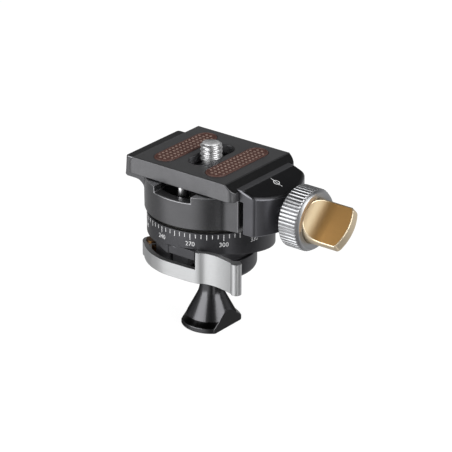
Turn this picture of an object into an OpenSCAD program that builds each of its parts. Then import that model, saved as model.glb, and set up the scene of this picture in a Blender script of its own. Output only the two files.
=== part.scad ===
// Small inverted panning ball head with a 38 mm dovetail clamp and its plate.
// Millimetres. Origin at the mouth of the base thread, +Z up, +X to the clamp knob.

/* [Foot and ball] */
// radius of the foot disc
foot_r = 8.8; // [7.5:0.1:10]
// height of the foot rim
foot_h = 1.5; // [1.2:0.1:2]
// half distance across the wrench flats
foot_flat = 6.15; // [5.5:0.05:7]
// radius of the flare where it leaves the foot
flare_r = 7.3; // [7:0.1:7.4]
// height where the flare leaves the foot
flare_z = 3.1; // [2.6:0.1:3.4]
// lean of the straight part of the flare
flare_lean = 27.3; // [27:0.1:29]
// radius of the neck
neck_r = 3.35; // [2.8:0.05:3.8]
// height where the flare becomes the neck
neck_z = 12.7; // [12.4:0.1:13.2]
// radius of the base thread hole, quarter inch
base_thread_r = 3.175; // [3.175:0.001:3.175]
// depth of the base thread hole
base_thread_len = 6.5; // [5:0.1:7.5]
// radius of the ball
ball_r = 8.3; // [8.1:0.05:8.35]
// height of the ball centre
ball_z = 23.4; // [23.3:0.05:23.5]

/* [Ball housing] */
// thickness of the friction liners
liner_t = 0.8; // [0.6:0.05:0.9]
// radius of the barrel round the ball
barrel_r = 13.2; // [12.9:0.1:13.6]
// height of the underside of the housing
barrel_bottom = 18.4; // [18.2:0.1:18.6]
// rounding of the lower barrel edge
barrel_round = 1.8; // [1.2:0.1:2.4]
// top of the visible collar
barrel_top = 24.2; // [24:0.1:24.6]
// radius of the neck above the collar
throat_r = 12.2; // [12:0.1:12.5]
// turn of the clamping bolt about the vertical axis
lug_turn = -11.3; // [-13:0.1:-10]
// distance of the clamping bolt from the ball axis
bolt_off = 12.6; // [12.4:0.05:12.9]
// height of the clamping bolt
bolt_z = 23.65; // [23.5:0.05:23.8]
// radius of the clamping bolt
bolt_r = 1.25; // [1.1:0.05:1.35]
// width of the split in the collar
split_w = 1; // [0.8:0.1:1.4]

/* [Lever] */
// distance of the lever pivot inside the outer face of the lever
hub_in = 2.6; // [2.4:0.05:2.8]
// radius of the lever hub
hub_r = 3; // [2.8:0.05:3.1]
// radius of the brass pivot
pivot_r = 1.9; // [1.75:0.05:2]
// outer radius of the bent part of the lever
lever_r = 19.3; // [19.1:0.1:19.6]
// thickness of the lever strip
lever_t = 1.5; // [1.4:0.05:1.6]
// underside of the lever
lever_bottom = 21.5; // [21.4:0.1:21.6]
// top of the narrow part of the lever
lever_mid = 25.8; // [25.6:0.1:26]
// top of the wide part of the lever
lever_top = 31; // [30.6:0.1:31.4]
// place where the lever becomes wide
lever_step_x = 8.8; // [8.7:0.1:9.4]
// distance of the straight part of the lever
lever_y = 19; // [18.9:0.05:19.2]
// place of the thumb bead along x
bead_x = 22.1; // [21.8:0.1:22.4]
// place of the thumb bead along y
bead_y = 17; // [16.8:0.1:17.3]
// radius of the thumb bead
bead_r = 1.5; // [1.2:0.05:1.6]

/* [Pan base] */
// radius of the graduated base
ring_r = 18.4; // [18.2:0.1:18.6]
// height of the slanting underside of the base at its middle
under_z = 27.5; // [27.3:0.1:27.7]
// slant of the underside, higher in front
under_tilt = 9.5; // [8.5:0.1:10]
// top of the base
ring_top = 35.9; // [35.7:0.05:36.2]
// bore of the base round the collar
ring_bore_r = 13.5; // [13.5:0.1:13.7]
// roof of the bore round the collar
roof_z = 30.7; // [30.6:0.1:30.9]
// roof of the recess beside the flat front face
ledge_z = 27.8; // [27.6:0.1:28]
// how much that roof rises towards the lever hub
ledge_rise = 1.7; // [1.4:0.1:1.8]
// distance of the flat front face of the base
front_flat = 18.25; // [18.1:0.05:18.3]
// end of the flat front face
front_end = 8.3; // [8:0.1:8.4]
// radius of the spigot that carries the ring
spigot_r = 11; // [10.8:0.1:11.3]
// radius of the pan spindle
spindle_r = 4; // [3.8:0.05:4.3]
// radius of the spindle head
spindle_head_r = 6.5; // [6.2:0.1:7]
// count of the ring screws
ring_screws_n = 3; // [3:1:6]

/* [Clamp body] */
// radius of the round clamp body
body_r = 19; // [18.8:0.1:19.3]
// underside of the clamp body
body_bottom = 36.9; // [36.85:0.05:37.2]
// thickness of the floor of the clamp body
body_floor = 3; // [2.8:0.1:3.2]
// half length of the jaws
jaw_half = 12; // [11.5:0.1:12.5]
// how far the clamp body ends inside the dovetail on the knob side
body_set = 0.2; // [0.15:0.05:0.4]
// radius of the hollow blend beside the end block
blend_r = 5; // [3:0.1:5.4]
// wall of the round clamp body
body_wall = 3.2; // [2.8:0.1:3.6]
// half width of the front and rear windows
window_half = 6.5; // [6:0.1:7]
// sill of the windows
sill_z = 45; // [44.6:0.1:45.4]
// reach of the fixed jaw outside the dovetail
fixed_reach = 2.6; // [2.4:0.1:3]
// top of both jaws
jaw_top = 50.6; // [50.4:0.1:50.9]

/* [Movable jaw and knob] */
// how far the movable jaw starts outside the dovetail
mjaw_set = 1.4; // [1.2:0.05:1.5]
// reach of the movable jaw outside the dovetail
mjaw_reach = 9; // [8.5:0.1:9.5]
// rounding of the corners of the movable jaw
mjaw_corner = 2; // [1.2:0.1:2.6]
// radius of the rounded outline of the movable jaw
mjaw_arc_r = 20; // [19:0.1:21]
// fall of the movable jaw's top for each mm outwards
mjaw_fall = 0.35; // [0.3:0.01:0.4]
// travel of the movable jaw
jaw_travel = 4; // [3.5:0.1:4.2]
// height of the clamp stud
stud_z = 41.9; // [41.7:0.1:42.2]
// radius of the clamp stud
stud_r = 2.5; // [2.3:0.05:2.6]
// radius of the guide pins
guide_r = 1.2; // [1.1:0.05:1.25]
// half distance between the guide pins
guide_half = 6.2; // [6.1:0.05:6.3]
// radius of the knurled knob
knob_r = 9; // [8.6:0.1:9.3]
// length of the knurled knob
knob_len = 7.3; // [6.8:0.1:7.6]
// radius of the paddle root
paddle_r = 6.4; // [6.2:0.1:6.7]
// reach of the paddle outside the knob
paddle_out = 11.5; // [10.5:0.1:12.5]
// thickness of the paddle at its end
paddle_t = 3.2; // [2.6:0.1:3.6]
// turn of the paddle about the knob axis
paddle_turn = 45; // [0:1:90]

/* [Plate and camera screw] */
// width of the dovetail
plate_w = 38; // [38:0.1:38]
// length of the plate
plate_len = 30; // [28:0.2:32]
// thickness of the plate
plate_t = 5.2; // [5:0.1:5.4]
// height of the plate top
plate_top = 52.3; // [52.3:0.1:52.6]
// size of the dovetail bevels
plate_bevel = 2.6; // [2.4:0.1:2.8]
// rounding of the plate corners
plate_corner = 2.2; // [1.5:0.1:2.6]
// half length of the slot between the arc centres
slot_half = 5.1; // [4.5:0.1:5.6]
// radius of the camera screw, quarter inch
cam_screw_r = 3.175; // [3.175:0.001:3.175]
// height of the camera screw above the plate
cam_screw_h = 3.6; // [3:0.1:5.5]
// distance of the grip strips from the middle
strip_x = 9.2; // [9:0.1:9.5]
// width of the grip strips
strip_w = 6.5; // [5.5:0.1:6.8]
// length of the grip strips
strip_len = 24.8; // [22:0.2:25.2]
// play of the stop screws in the pocket
stop_play = 1.4; // [1.3:0.1:1.7]

/* [Hidden] */
$fn = 64;
gap = 0.3;
run = 0.04;
e = 0.01;
bed = 0.5;
neck_arc = ((neck_z - flare_z)*tan(flare_lean) - flare_r + neck_r)*cos(flare_lean)/(1 - cos(flare_lean));
flare_end_r = neck_r + neck_arc*(1 - cos(flare_lean));
flare_end_z = neck_z - neck_arc*sin(flare_lean);
cup_in_r = ball_r + run;
cup_out_r = cup_in_r + liner_t;
cavity_r = cup_out_r + run;
lip_drop = ball_z - barrel_bottom;
spigot_top = 31.7;
web_z = 32;
plate_bottom = plate_top - plate_t;
body_end_x = plate_w/2 - body_set;
fixed_jaw_x = plate_w/2 + fixed_reach;
mjaw_x = plate_w/2 + mjaw_set;
mjaw_end = plate_w/2 + mjaw_reach;
wall_top = plate_bottom - 0.15;
pocket_z = body_bottom + body_floor;
pocket_r = body_r - body_wall;
pocket_end_x = body_end_x - 6;
knob_x = mjaw_end + 1.7;
collar_r = 3.4;
paddle_end = knob_x + knob_len + paddle_out;
pin_r = 0.6;
pin_in = 1.2;
stud_grip = 3.6;
disc_r = ring_r - 2.9;
mjaw_bottom = body_bottom + 0.4;
mjaw_arc_x = mjaw_end - mjaw_arc_r;
guide_wall = 0.8;
guide_tip = mjaw_arc_x + sqrt(pow(mjaw_arc_r, 2) - pow(guide_half + guide_r + run, 2)) - guide_wall;
guide_end = guide_tip - 0.4;
lip_in = plate_w/2 + 0.12;
bevel_z = plate_top - plate_bevel;
lip_top_in = plate_w/2 - (jaw_top - bevel_z) + 0.17;
lip_flat = 2.4;
pivot_off = sqrt(pow(lever_r - hub_in, 2) - pow(bolt_off, 2));
pivot = [-pivot_off, -bolt_off];
lug_face = pivot_off - hub_r - 1.1;
lug_out = 14.9;
lug_top = ledge_z - 0.4;
head_r = 2.1;
head_x = 4.6;
screw_r = 0.95;
screw_pcd_r = 9.4;
slot_r = cam_screw_r + 0.25;
screw_head_r = 5.4;
screw_head_t = 1.6;
strip_t = 0.9;
strip_sink = 0.6;
stop_r = 1.2;
stop_drop = 2.9;
stop_y = pocket_r - stop_r - stop_play;
spring_r = 3.6;
spring_wire = 0.4;
spring_turns = 3.5;
spring_seat = 5;
washer_t = 0.5;

// ring solid about z from a section of points
module zone(a0, a1, r0, r1) {
  n = 12;
  rotate_extrude()
    difference() {
      intersection() {
        circle(r = r1);
        polygon([[0, 0], for (i = [0:n]) 2*r1*[sin(a0 + (a1 - a0)*i/n), cos(a0 + (a1 - a0)*i/n)]]);
      }
      circle(r = r0);
    }
}

// foot, flare, neck and ball in one turned piece
module ball_stem() {
  color("#1b1b1d") difference() {
    union() {
      translate([0, 0, ball_z]) sphere(r = ball_r, $fn = 96);
      rotate_extrude($fn = 96) {
        polygon([[0, 0], [foot_r - 0.3, 0], [foot_r, 0.3], [foot_r, foot_h], [flare_r, flare_z],
                 [flare_end_r, flare_end_z], [0, flare_end_z]]);
        difference() {
          translate([0, flare_end_z - e]) square([flare_end_r, neck_z - flare_end_z + e]);
          translate([neck_r + neck_arc, neck_z]) circle(r = neck_arc, $fn = 128);
        }
        square([neck_r, ball_z - 2]);
      }
    }
    for (s = [-1, 1])
      translate([s*(foot_flat + 5), 0, 4]) cube([10, 30, 10], center = true);
    translate([0, 0, -1]) cylinder(r = base_thread_r, h = base_thread_len + 1);
    translate([0, 0, -e]) cylinder(r1 = base_thread_r + 0.4, r2 = base_thread_r, h = 0.4);
  }
}

// thin lower liner that keeps dust out of the mouth
module dust_shield() {
  color("#2a2a2c") translate([0, 0, ball_z]) zone(118, 155, cup_in_r, cup_out_r);
}

// upper friction liner
module ball_cup() {
  color("#3a3a3c") translate([0, 0, ball_z]) zone(32, 76, cup_in_r, cup_out_r);
}

// split collar round the ball with its throat and spigot
module ball_housing() {
  color("#39393b") difference() {
    union() {
      rotate_extrude($fn = 96) {
        translate([0, barrel_bottom + barrel_round])
          square([barrel_r, barrel_top - barrel_bottom - barrel_round]);
        translate([0, barrel_bottom]) square([barrel_r - barrel_round, barrel_round + e]);
        translate([barrel_r - barrel_round, barrel_bottom + barrel_round]) circle(r = barrel_round);
        translate([0, barrel_top - e]) square([throat_r, roof_z - barrel_top + e]);
        translate([0, roof_z - e]) square([spigot_r, spigot_top - roof_z + e]);
      }
      rotate([0, 0, lug_turn])
        translate([-lug_face, -lug_out, lever_bottom - 0.5])
          cube([lug_face + head_x + 2.6, lug_out - 6, lug_top - lever_bottom + 0.5]);
    }
    translate([0, 0, ball_z]) sphere(r = cavity_r, $fn = 96);
    translate([0, 0, barrel_bottom - 1])
      cylinder(r = sqrt(cavity_r*cavity_r - lip_drop*lip_drop) + 0.05, h = lip_drop);
    rotate([0, 0, lug_turn]) {
      translate([-split_w/2, -20, barrel_bottom - 1])
        cube([split_w, 20, lug_top - barrel_bottom + 1.2]);
      translate([-15, -bolt_off, bolt_z]) rotate([0, 90, 0]) cylinder(r = bolt_r + 0.1, h = 30);
      translate([head_x, -bolt_off, bolt_z]) rotate([0, 90, 0]) cylinder(r = head_r + 0.15, h = 20);
    }
    for (i = [0:ring_screws_n - 1])
      rotate([0, 0, 30 + i*360/ring_screws_n])
        translate([screw_pcd_r, 0, spigot_top - 3.3]) cylinder(r = screw_r, h = 10);
  }
}

// socket head bolt that closes the collar
module draw_bolt() {
  color("#8e9094") rotate([0, 0, lug_turn]) difference() {
    union() {
      translate([-pivot_off - 1, -bolt_off, bolt_z]) rotate([0, 90, 0])
        cylinder(r = bolt_r, h = pivot_off + 1 + head_x + 0.5);
      translate([head_x, -bolt_off, bolt_z]) rotate([0, 90, 0]) cylinder(r = head_r, h = 2.2);
    }
    translate([head_x + 1, -bolt_off, bolt_z]) rotate([0, 90, 0]) cylinder(r = 1.15, h = 4, $fn = 6);
  }
}

// brass pivot barrel at the end of the bolt
module cam_pivot() {
  color("#a8743c") rotate([0, 0, lug_turn]) difference() {
    translate([pivot[0], pivot[1], lever_bottom - 0.3]) cylinder(r = pivot_r, h = lever_mid - lever_bottom + 0.7);
    translate([-pivot_off - 1 - e, -bolt_off, bolt_z]) rotate([0, 90, 0]) cylinder(r = bolt_r, h = 8);
  }
}

// brass seat between the lever hub and the collar
module cam_washer() {
  color("#b07c40") rotate([0, 0, lug_turn]) difference() {
    translate([-lug_face - 2.4, -bolt_off - 2.2, lever_bottom + 0.1])
      cube([2.4, 4.4, lever_mid - lever_bottom - 0.2]);
    translate([pivot[0], pivot[1], 0]) cylinder(r = hub_r + run, h = 60);
    cylinder(r = barrel_r + run, h = 60);
    translate([-15, -bolt_off, bolt_z]) rotate([0, 90, 0]) cylinder(r = bolt_r + 0.1, h = 30);
  }
}

// smooth curve through points, four steps a span
function between(p, i, t) =
  let (a = p[max(i - 1, 0)], b = p[i], c = p[i + 1], d = p[min(i + 2, len(p) - 1)])
    0.5*(2*b + (c - a)*t + (2*a - 5*b + 4*c - d)*t*t + (3*b - a - 3*c + d)*t*t*t);
function curve(p) = [for (i = [0:len(p) - 2], k = [0:3]) between(p, i, k/4), p[len(p) - 1]];

// outline of the lever strip, grown inward by the strip thickness
module lever_strip() {
  start = 212;
  stop = 248;
  waist_y = lever_y - 2.1;
  tip = [bead_x - 1.2, -bead_y - 0.9];
  way = curve([[lever_r*cos(stop), lever_r*sin(stop)], [lever_step_x - 11.4, -lever_y - 0.1],
               [lever_step_x - 4.8, -lever_y], [lever_step_x, -lever_y + 0.4],
               [lever_step_x + 2.6, -lever_y + 1.7], [lever_step_x + 5.8, -waist_y],
               [bead_x - 3.9, -waist_y - 0.4], tip]);
  inner = [for (i = [0:len(way) - 1]) way[i] + [0, lever_t]];
  union() {
    intersection() {
      difference() {
        circle(r = lever_r, $fn = 128);
        circle(r = lever_r - lever_t, $fn = 128);
      }
      polygon([[0, 0], for (i = [0:8]) 40*[cos(start + (stop - start)*i/8), sin(start + (stop - start)*i/8)]]);
    }
    polygon(concat(way, [[bead_x, -bead_y]], [for (i = [len(inner) - 1:-1:0]) inner[i]]));
    translate([bead_x, -bead_y]) circle(r = bead_r);
  }
}

// quick lever with its forked hub
module lock_lever() {
  color("#d6d7d9") difference() {
    union() {
      translate([0, 0, lever_bottom]) linear_extrude(lever_mid - lever_bottom) union() {
        lever_strip();
        rotate(lug_turn) translate(pivot) circle(r = hub_r);
      }
      translate([0, 0, lever_mid - e]) linear_extrude(lever_top - lever_mid + e) intersection() {
        lever_strip();
        translate([lever_step_x, -30]) square([40, 30]);
      }
    }
    rotate([0, 0, lug_turn]) {
      translate([pivot[0], pivot[1], 0]) cylinder(r = pivot_r + run, h = 60);
      translate([pivot[0], pivot[1], bolt_z - bolt_r - 0.2])
        linear_extrude(2*bolt_r + 0.4)
          polygon([[0, 0], for (a = [-45:36:135]) 5*[cos(a), sin(a)]]);
    }
  }
}

// graduated base that carries the clamp, cut away for the lever
module scale_ring() {
  apron_x = -1;
  apron_z = ledge_z + gap;
  low = under_z - ring_r*tan(under_tilt) - 0.2;
  color("#4a4a4d") difference() {
    union() {
      difference() {
        translate([0, 0, low]) cylinder(r = ring_r, h = ring_top - low, $fn = 128);
        difference() {
          translate([0, 0, under_z]) rotate([-under_tilt, 0, 0]) translate([-40, -40, -40]) cube([80, 80, 40]);
          translate([apron_x - 60, -60, 0]) cube([60, 60, 60]);
        }
        rotate([90, 0, 0]) linear_extrude(60)
          polygon([[apron_x, 0], [apron_x, ledge_z], [apron_x - 5.6, ledge_z + ledge_rise],
                   [-40, ledge_z + ledge_rise], [-40, 0]]);
      }
      translate([apron_x, -front_flat, apron_z])
        cube([front_end - apron_x, front_flat - ring_bore_r - 0.6, lever_top - apron_z]);
    }
    translate([0, 0, low - 1]) cylinder(r = ring_bore_r, h = roof_z - low + 1);
    translate([0, 0, low - 1]) cylinder(r = spigot_r + 0.02, h = web_z - low + 1);
    cylinder(r = spindle_r - 1, h = 60);
    for (i = [0:ring_screws_n - 1])
      rotate([0, 0, 30 + i*360/ring_screws_n]) translate([screw_pcd_r, 0, 0]) {
        cylinder(r = screw_r + 0.1, h = 60);
        translate([0, 0, ring_top - 1.1]) cylinder(r1 = screw_r + 0.1, r2 = screw_r + 1.15, h = 1.1 + e);
      }
  }
}

// countersunk screws that hold the ring to the housing
module ring_screws() {
  color("#9a9ca0")
    for (i = [0:ring_screws_n - 1])
      rotate([0, 0, 30 + i*360/ring_screws_n]) translate([screw_pcd_r, 0, 0]) difference() {
        union() {
          translate([0, 0, spigot_top - 3]) cylinder(r = screw_r - 0.02, h = ring_top - spigot_top + 2.9);
          translate([0, 0, ring_top - 1.1]) cylinder(r1 = screw_r - 0.02, r2 = screw_r + 0.9, h = 1);
        }
        translate([0, 0, ring_top - 0.7]) cylinder(r = 0.7, h = 2, $fn = 6);
      }
}

// shouldered screw that the clamp turns on
module pan_spindle() {
  head_z = pocket_z + washer_t + 2*run;
  color("#8e9094") difference() {
    union() {
      translate([0, 0, web_z]) cylinder(r = spindle_r - 1, h = ring_top - web_z + e);
      translate([0, 0, ring_top]) cylinder(r = spindle_r, h = head_z - ring_top + e);
      translate([0, 0, head_z]) cylinder(r = spindle_head_r, h = 1.6);
    }
    translate([0, 0, head_z + 0.5]) cylinder(r = 2.3, h = 4, $fn = 6);
  }
}

// friction disc between the ring and the clamp body
module pan_disc() {
  color("#cfcabb") translate([0, 0, ring_top]) difference() {
    cylinder(r = disc_r, h = body_bottom - ring_top - run);
    translate([0, 0, -1]) cylinder(r = spindle_r + run, h = 4);
  }
}

// shim under the spindle head
module pan_shim() {
  color("#cfcabb") translate([0, 0, pocket_z + run]) difference() {
    cylinder(r = spindle_head_r - 0.2, h = washer_t);
    translate([0, 0, -1]) cylinder(r = spindle_r + run, h = 4);
  }
}

// round clamp body with the fixed jaw
module clamp_body() {
  toe_r = 0.7;
  toe_z = wall_top - 2.6;
  fil = fixed_jaw_x - body_r;
  jaw_root = lip_in - 6.12;
  blend_y = jaw_half + blend_r;
  blend_x = sqrt(pow(body_r + blend_r, 2) - pow(blend_y, 2));
  touch = body_r/(body_r + blend_r);
  color("#434346") difference() {
    union() {
      difference() {
        translate([0, 0, body_bottom]) cylinder(r = body_r, h = wall_top - body_bottom, $fn = 128);
        translate([body_end_x, -30, 0]) cube([30, 60, 60]);
      }
      translate([6, -jaw_half, body_bottom]) cube([body_end_x - 6, 2*jaw_half, wall_top - body_bottom]);
      translate([0, 0, body_bottom]) linear_extrude(wall_top - body_bottom) for (s = [-1, 1]) difference() {
        polygon([[blend_x, s*(jaw_half - 1)], [blend_x, s*jaw_half], [blend_x*touch, s*blend_y*touch],
                 [blend_x*touch - 1, s*(jaw_half - 1)]]);
        translate([blend_x, s*blend_y]) circle(r = blend_r);
      }
      translate([0, jaw_half, 0]) rotate([90, 0, 0]) linear_extrude(2*jaw_half) union() {
        polygon([[-jaw_root, toe_z], [-jaw_root, wall_top], [-lip_in, wall_top], [-lip_in, bevel_z + 0.05],
                 [-lip_top_in, jaw_top], [-fixed_jaw_x, jaw_top], [-fixed_jaw_x, toe_z + toe_r],
                 [-fixed_jaw_x + toe_r, toe_z + toe_r], [-fixed_jaw_x + toe_r, toe_z]]);
        translate([-fixed_jaw_x + toe_r, toe_z + toe_r]) circle(r = toe_r);
      }
      intersection() {
        rotate_extrude($fn = 128) difference() {
          translate([body_r - 1, toe_z - fil]) square([fil + 1, fil + e]);
          translate([body_r + fil, toe_z - fil]) circle(r = fil);
        }
        translate([-fixed_jaw_x + toe_r, -jaw_half, 0]) cube([fixed_jaw_x - toe_r - 8, 2*jaw_half, 60]);
      }
    }
    translate([0, 0, pocket_z]) difference() {
      cylinder(r = pocket_r, h = 60);
      translate([pocket_end_x, -30, -1]) cube([60, 60, 90]);
      translate([-60 - pocket_r + 1.6, -30, -1]) cube([60, 60, wall_top - pocket_z + 1]);
    }
    translate([-window_half, -30, sill_z]) cube([2*window_half, 60, 30]);
    translate([0, 0, body_bottom - 1]) cylinder(r = spindle_r + run, h = 9);
    translate([pocket_end_x - 1, 0, stud_z]) rotate([0, 90, 0]) cylinder(r = stud_r + 0.01, h = 20);
    for (s = [-1, 1])
      translate([pocket_end_x + 1, s*guide_half, stud_z]) rotate([0, 90, 0]) cylinder(r = guide_r + 0.01, h = 20);
  }
}

// two pins that guide the movable jaw
module guide_pins() {
  color("#a6a8ab")
    for (s = [-1, 1])
      translate([pocket_end_x + 1.1, s*guide_half, stud_z]) rotate([0, 90, 0])
        cylinder(r = guide_r, h = guide_end - pocket_end_x - 1.1);
}

// threaded stud that the knob runs on
module clamp_stud() {
  color("#97999d") translate([pocket_end_x, 0, stud_z]) rotate([0, 90, 0])
    cylinder(r = stud_r, h = knob_x + stud_grip - pocket_end_x);
}

// tube wound along x
module coil(r, w, turns, len) {
  n = 20;
  m = 8;
  steps = round(turns*n);
  pts = [for (i = [0:steps], j = [0:m - 1])
    let (a = 360*i/n, b = 360*j/m, rr = r + w*cos(b))
      [len*i/steps + w*sin(b), rr*cos(a), rr*sin(a)]];
  sides = [for (i = [0:steps - 1], j = [0:m - 1])
    [i*m + j, i*m + (j + 1)%m, (i + 1)*m + (j + 1)%m, (i + 1)*m + j]];
  ends = [[for (j = [0:m - 1]) m - 1 - j], [for (j = [0:m - 1]) steps*m + j]];
  polyhedron(points = pts, faces = concat(sides, ends), convexity = 8);
}

// spring that opens the movable jaw
module jaw_spring() {
  len = mjaw_x + spring_seat - body_end_x - 2*spring_wire - 0.1;
  color("#b4b6b8") translate([body_end_x + spring_wire + 0.05, 0, stud_z])
    coil(spring_r, spring_wire, spring_turns, len);
}

// outline of the movable jaw from above
module mjaw_plan() {
  in_r = mjaw_arc_r - mjaw_corner;
  cy = jaw_half - mjaw_corner;
  cx = sqrt(in_r*in_r - cy*cy);
  union() {
    intersection() {
      translate([mjaw_arc_x, 0]) circle(r = mjaw_arc_r, $fn = 128);
      polygon([[mjaw_arc_x, 0], [mjaw_arc_x + 2*cx, -2*cy], [mjaw_arc_x + 60, -2*cy],
               [mjaw_arc_x + 60, 2*cy], [mjaw_arc_x + 2*cx, 2*cy]]);
    }
    translate([lip_top_in - 1, -jaw_half]) square([mjaw_arc_x + cx - lip_top_in + 1, 2*jaw_half]);
    for (s = [-1, 1]) translate([mjaw_arc_x + cx, s*cy]) circle(r = mjaw_corner);
  }
}

// movable jaw with its lip and sloping top
module movable_jaw() {
  slope_end = jaw_top - (mjaw_end - lip_top_in - lip_flat)*mjaw_fall;
  color("#2c2c2e") difference() {
    intersection() {
      translate([0, 0, mjaw_bottom]) linear_extrude(60) mjaw_plan();
      translate([0, 30, 0]) rotate([90, 0, 0]) linear_extrude(60)
        polygon([[mjaw_x, mjaw_bottom], [mjaw_x, wall_top], [lip_in, wall_top], [lip_in, bevel_z + 0.05],
                 [lip_top_in, jaw_top], [lip_top_in + lip_flat, jaw_top], [mjaw_end, slope_end],
                 [mjaw_end + 1, mjaw_bottom]]);
    }
    translate([mjaw_x - 1, 0, stud_z]) rotate([0, 90, 0]) cylinder(r = stud_r + 0.15, h = 30);
    translate([mjaw_x - 1, 0, stud_z]) rotate([0, 90, 0])
      cylinder(r = spring_r + spring_wire + 0.35, h = spring_seat + 1);
    for (s = [-1, 1])
      translate([mjaw_x - 1, s*guide_half, stud_z]) rotate([0, 90, 0])
        cylinder(r = guide_r + run, h = guide_tip - mjaw_x + 1);
  }
}

// knurled ring of the knob with its thrust collar
module knob_ring() {
  color("#c3c5c8") translate([0, 0, stud_z]) rotate([0, 90, 0]) difference() {
    union() {
      translate([0, 0, mjaw_end + 0.05]) cylinder(r = collar_r, h = knob_x - mjaw_end);
      translate([0, 0, knob_x]) cylinder(r1 = knob_r - 0.7, r2 = knob_r, h = 0.7);
      translate([0, 0, knob_x + 0.7 - e]) cylinder(r = knob_r, h = knob_len - 1.4 + 2*e);
      translate([0, 0, knob_x + knob_len - 0.7]) cylinder(r1 = knob_r, r2 = knob_r - 0.7, h = 0.7);
    }
    cylinder(r = stud_r + run, h = knob_x + stud_grip + 0.4);
    translate([0, 0, knob_x + knob_len - 2.6]) cylinder(r = paddle_r + 0.02, h = 10);
    translate([-20, 0, knob_x + knob_len - 2.6 + pin_in]) rotate([0, 90, 0]) cylinder(r = pin_r + 0.02, h = 20);
  }
}

// wing paddle pressed into the knob ring
module knob_paddle() {
  face = knob_x + knob_len;
  root = face - 2.6;
  half = paddle_t/2;
  corner = 1.6;
  end_r = 14;
  arc_x = paddle_end - end_r;
  corner_x = sqrt(pow(end_r - corner, 2) - pow(paddle_r - corner, 2));
  scoop = paddle_r - half + 1.4;
  floor_x = face - 0.8 + scoop;
  color("#c79a5b") translate([0, 0, stud_z]) rotate([paddle_turn, 0, 0]) difference() {
    intersection() {
      translate([root, 0, 0]) rotate([0, 90, 0]) cylinder(r = paddle_r, h = paddle_end - root);
      linear_extrude(40, center = true) union() {
        translate([root, -paddle_r]) square([arc_x + corner_x - root, 2*paddle_r]);
        for (s = [-1, 1]) translate([arc_x + corner_x, s*(paddle_r - corner)]) circle(r = corner);
        intersection() {
          translate([arc_x, 0]) circle(r = end_r, $fn = 128);
          polygon([[arc_x, 0], [arc_x + 2*corner_x, -2*(paddle_r - corner)],
                   [arc_x + 2*corner_x, 2*(paddle_r - corner)]]);
        }
      }
    }
    for (s = [-1, 1]) {
      translate([floor_x, 20, s*(half + scoop)]) rotate([90, 0, 0]) cylinder(r = scoop, h = 40, $fn = 128);
      translate([floor_x, -20, s > 0 ? half : -half - 20]) cube([30, 40, 20]);
    }
    rotate([-paddle_turn, 0, 0]) translate([root + pin_in, 0, -20]) cylinder(r = pin_r + 0.02, h = 40);
  }
}

// cross pin that locks the paddle in the ring
module knob_pin() {
  root = knob_x + knob_len - 2.6;
  color("#97999d") translate([root + pin_in, 0, stud_z]) cylinder(r = pin_r, h = knob_r - 0.5);
}

// round ended bar outline along y
module stadium(r, half) {
  translate([0, -half]) circle(r = r);
  translate([0, half]) circle(r = r);
  translate([-r, -half]) square([2*r, 2*half]);
}

// plate outline with rounded corners
module plate_plan() {
  hx = plate_w/2 - plate_corner;
  hy = plate_len/2 - plate_corner;
  union() {
    translate([-plate_w/2, -hy]) square([plate_w, 2*hy]);
    translate([-hx, -plate_len/2]) square([2*hx, plate_len]);
    for (sx = [-1, 1], sy = [-1, 1]) translate([sx*hx, sy*hy]) circle(r = plate_corner);
  }
}

// dovetail plate
module plate() {
  color("#4a4a4c") difference() {
    intersection() {
      translate([0, 0, plate_bottom]) linear_extrude(plate_t) plate_plan();
      translate([0, 30, 0]) rotate([90, 0, 0]) linear_extrude(60)
        polygon([[-plate_w/2, plate_bottom], [-plate_w/2, bevel_z], [-plate_w/2 + plate_bevel, plate_top],
                 [plate_w/2 - plate_bevel, plate_top], [plate_w/2, bevel_z], [plate_w/2, plate_bottom]]);
    }
    translate([0, 0, plate_bottom - 1]) linear_extrude(20) stadium(slot_r, slot_half);
    translate([0, 0, plate_bottom - e]) linear_extrude(screw_head_t + 0.9) stadium(screw_head_r + 0.3, slot_half);
    for (s = [-1, 1])
      translate([s*strip_x, 0, plate_top - strip_sink]) linear_extrude(5)
        stadium(strip_w/2, strip_len/2 - strip_w/2);
    for (s = [-1, 1])
      translate([0, s*stop_y, plate_bottom - e]) cylinder(r = stop_r - 0.2, h = 2.2);
  }
}

// rubber grip strips let into the plate
module grip_strip() {
  translate([0, 0, plate_top - strip_sink]) linear_extrude(strip_t)
    stadium(strip_w/2 - 0.02, strip_len/2 - strip_w/2);
}

module strip_left() {
  color("#5a3a31") translate([-strip_x, 0, 0]) grip_strip();
}

module strip_right() {
  color("#5a3a31") translate([strip_x, 0, 0]) grip_strip();
}

// stop screws under both ends of the plate
module stop_screws() {
  color("#c9cbcd")
    for (s = [-1, 1])
      translate([0, s*stop_y, 0]) difference() {
        union() {
          translate([0, 0, plate_bottom - stop_drop]) cylinder(r = stop_r, h = stop_drop);
          translate([0, 0, plate_bottom - e]) cylinder(r = stop_r - 0.22, h = 2);
        }
        translate([0, 0, plate_bottom - stop_drop - 1]) cylinder(r = 0.65, h = 2, $fn = 6);
      }
}

// clip that keeps the camera screw in the slot
module screw_clip() {
  z = plate_bottom + screw_head_t + 0.25;
  color("#2b2b2d") translate([0, 0, z]) difference() {
    cylinder(r = screw_head_r - 0.4, h = 0.5);
    translate([0, 0, -1]) cylinder(r = cam_screw_r - 0.4 + run, h = 3);
  }
}

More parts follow.
